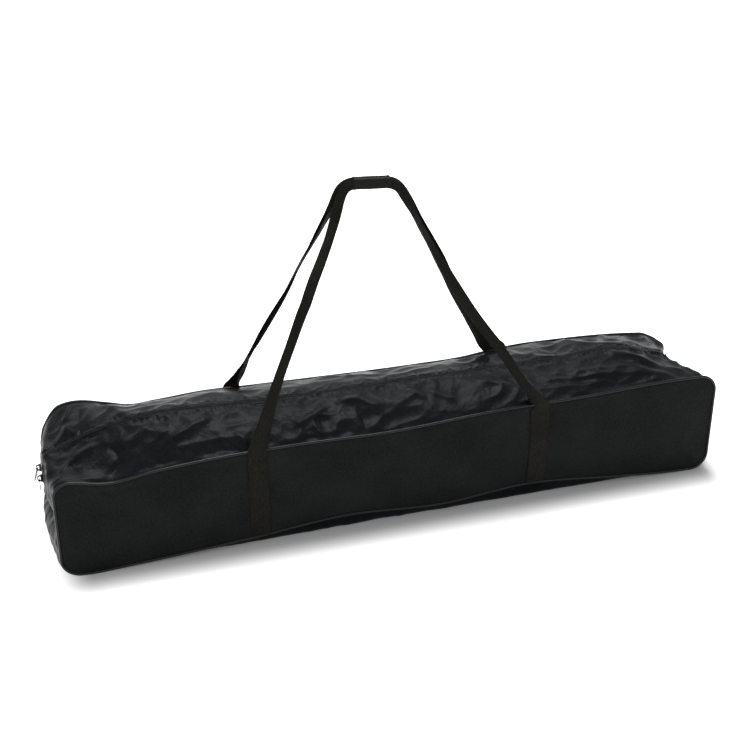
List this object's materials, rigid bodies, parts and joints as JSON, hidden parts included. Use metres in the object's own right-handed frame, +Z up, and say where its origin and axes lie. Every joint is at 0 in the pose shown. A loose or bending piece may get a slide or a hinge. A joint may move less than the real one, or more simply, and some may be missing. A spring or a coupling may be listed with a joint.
{
  "type": "packed portable pickleball net",
  "caption": "Portable pickleball net packed in its long zipped carry bag: two webbing handles, opening top flaps, frame tubes, posts, feet and the rolled net inside.",
  "frame": {"origin": "on the floor, below the middle of the bag, on the flat face that it rests on", "axes": "+X along the bag to its right end, the front panel faces -Y, +Z up"},
  "size_m": [1.1256, 0.1968, 0.5738],
  "materials": {
    "panel_cloth": "matte woven polyester",
    "gusset_cloth": "thin slightly shiny nylon",
    "piping_vinyl": "glossy",
    "webbing": "ribbed webbing",
    "grip_cloth": "smooth tape",
    "zip_tape": "coil zip tape",
    "slider_metal": "black plated, satin",
    "powder_coat": "black powder coat",
    "bright_steel": "bright",
    "rubber": "matte",
    "black_plastic": "matte moulded",
    "net_cord": "knotted net, rolled",
    "headband_vinyl": "white vinyl tape",
    "tie_tape": "hook and loop"
  },
  "bodies": {
    "bag": {"back_panel": "panel_cloth", "back_piping": "piping_vinyl", "back_strap_left": "webbing", "back_strap_right": "webbing", "bottom_gusset": "gusset_cloth", "centre_foot": "powder_coat", "centre_foot_plug_left": "rubber", "centre_foot_plug_right": "rubber", "centre_post": "powder_coat", "centre_post_cap": "black_plastic", "front_panel": "panel_cloth", "front_piping": "piping_vinyl", "front_strap_left": "webbing", "front_strap_right": "webbing", "left_end_back_strip": "gusset_cloth", "left_end_front_strip": "gusset_cloth", "left_end_zip": "zip_tape", "left_foot": "powder_coat", "left_foot_plug_left": "rubber", "left_foot_plug_right": "rubber", "left_net_tie": "tie_tape", "left_post": "powder_coat", "left_post_cap": "black_plastic", "net_headband": "headband_vinyl", "net_roll": "net_cord", "rail_1": "powder_coat", "rail_2": "powder_coat", "rail_3": "powder_coat", "rail_4": "powder_coat", "rail_5": "powder_coat", "rail_6": "powder_coat", "right_end_back_strip": "gusset_cloth", "right_end_front_strip": "gusset_cloth", "right_end_zip": "zip_tape", "right_foot": "powder_coat", "right_foot_plug_left": "rubber", "right_foot_plug_right": "rubber", "right_net_tie": "tie_tape", "right_post": "powder_coat", "right_post_cap": "black_plastic"},
    "front_flap": {"front_flap": "gusset_cloth", "front_zip_half": "zip_tape"},
    "back_flap": {"back_flap": "gusset_cloth", "back_zip_half": "zip_tape"},
    "front_handle": {"front_handle": "webbing", "front_grip": "grip_cloth"},
    "back_handle": {"back_handle": "webbing", "back_grip": "grip_cloth"},
    "upper_slider": {"upper_slider": "slider_metal"},
    "upper_pull_tab": {"upper_pull_tab": "slider_metal"},
    "lower_slider": {"lower_slider": "slider_metal"},
    "lower_pull_tab": {"lower_pull_tab": "slider_metal"},
    "rail_1_button": {"rail_1_button": "bright_steel"},
    "rail_2_button": {"rail_2_button": "bright_steel"},
    "rail_3_button": {"rail_3_button": "bright_steel"},
    "rail_4_button": {"rail_4_button": "bright_steel"},
    "rail_5_button": {"rail_5_button": "bright_steel"},
    "rail_6_button": {"rail_6_button": "bright_steel"}
  },
  "joints": [
    {"name": "front_flap_hinge", "type": "hinge", "parent": "bag", "child": "front_flap", "pos_m": [0, -0.08946, 0.18008], "axis": [1, 0, 0], "range_deg": [0, 52]},
    {"name": "back_flap_hinge", "type": "hinge", "parent": "bag", "child": "back_flap", "pos_m": [0, 0.08946, 0.18008], "axis": [-1, 0, 0], "range_deg": [0, 52]},
    {"name": "front_handle_hinge", "type": "hinge", "parent": "bag", "child": "front_handle", "pos_m": [0, -0.0962, 0.17204], "axis": [1, 0, 0], "range_deg": [0, 127]},
    {"name": "back_handle_hinge", "type": "hinge", "parent": "bag", "child": "back_handle", "pos_m": [0, 0.0962, 0.17204], "axis": [-1, 0, 0], "range_deg": [0, 127]},
    {"name": "upper_slider_slide", "type": "slide", "parent": "bag", "child": "upper_slider", "axis": [0, 0, 1], "range_m": [0, 0.021]},
    {"name": "upper_pull_tab_hinge", "type": "hinge", "parent": "upper_slider", "child": "upper_pull_tab", "pos_m": [-0.5613, 0, 0.15], "axis": [0, 1, 0], "range_deg": [0, 150]},
    {"name": "lower_slider_slide", "type": "slide", "parent": "bag", "child": "lower_slider", "axis": [0, 0, 1], "range_m": [-0.03, 0]},
    {"name": "lower_pull_tab_hinge", "type": "hinge", "parent": "lower_slider", "child": "lower_pull_tab", "pos_m": [-0.5613, 0, 0.13], "axis": [0, 1, 0], "range_deg": [0, 50]},
    {"name": "rail_1_button_press", "type": "slide", "parent": "bag", "child": "rail_1_button", "axis": [0, 0, 1], "range_m": [-0.0032, 0], "stiffness_N_per_m": 600, "springref_m": 0.001},
    {"name": "rail_2_button_press", "type": "slide", "parent": "bag", "child": "rail_2_button", "axis": [0, 0, 1], "range_m": [-0.0032, 0], "stiffness_N_per_m": 600, "springref_m": 0.001},
    {"name": "rail_3_button_press", "type": "slide", "parent": "bag", "child": "rail_3_button", "axis": [0, 0, 1], "range_m": [-0.0032, 0], "stiffness_N_per_m": 600, "springref_m": 0.001},
    {"name": "rail_4_button_press", "type": "slide", "parent": "bag", "child": "rail_4_button", "axis": [0, 0, 1], "range_m": [-0.0032, 0], "stiffness_N_per_m": 600, "springref_m": 0.001},
    {"name": "rail_5_button_press", "type": "slide", "parent": "bag", "child": "rail_5_button", "axis": [0, 0, 1], "range_m": [-0.0032, 0], "stiffness_N_per_m": 600, "springref_m": 0.001},
    {"name": "rail_6_button_press", "type": "slide", "parent": "bag", "child": "rail_6_button", "axis": [0, 0, 1], "range_m": [-0.0032, 0], "stiffness_N_per_m": 600, "springref_m": 0.001}
  ]
}
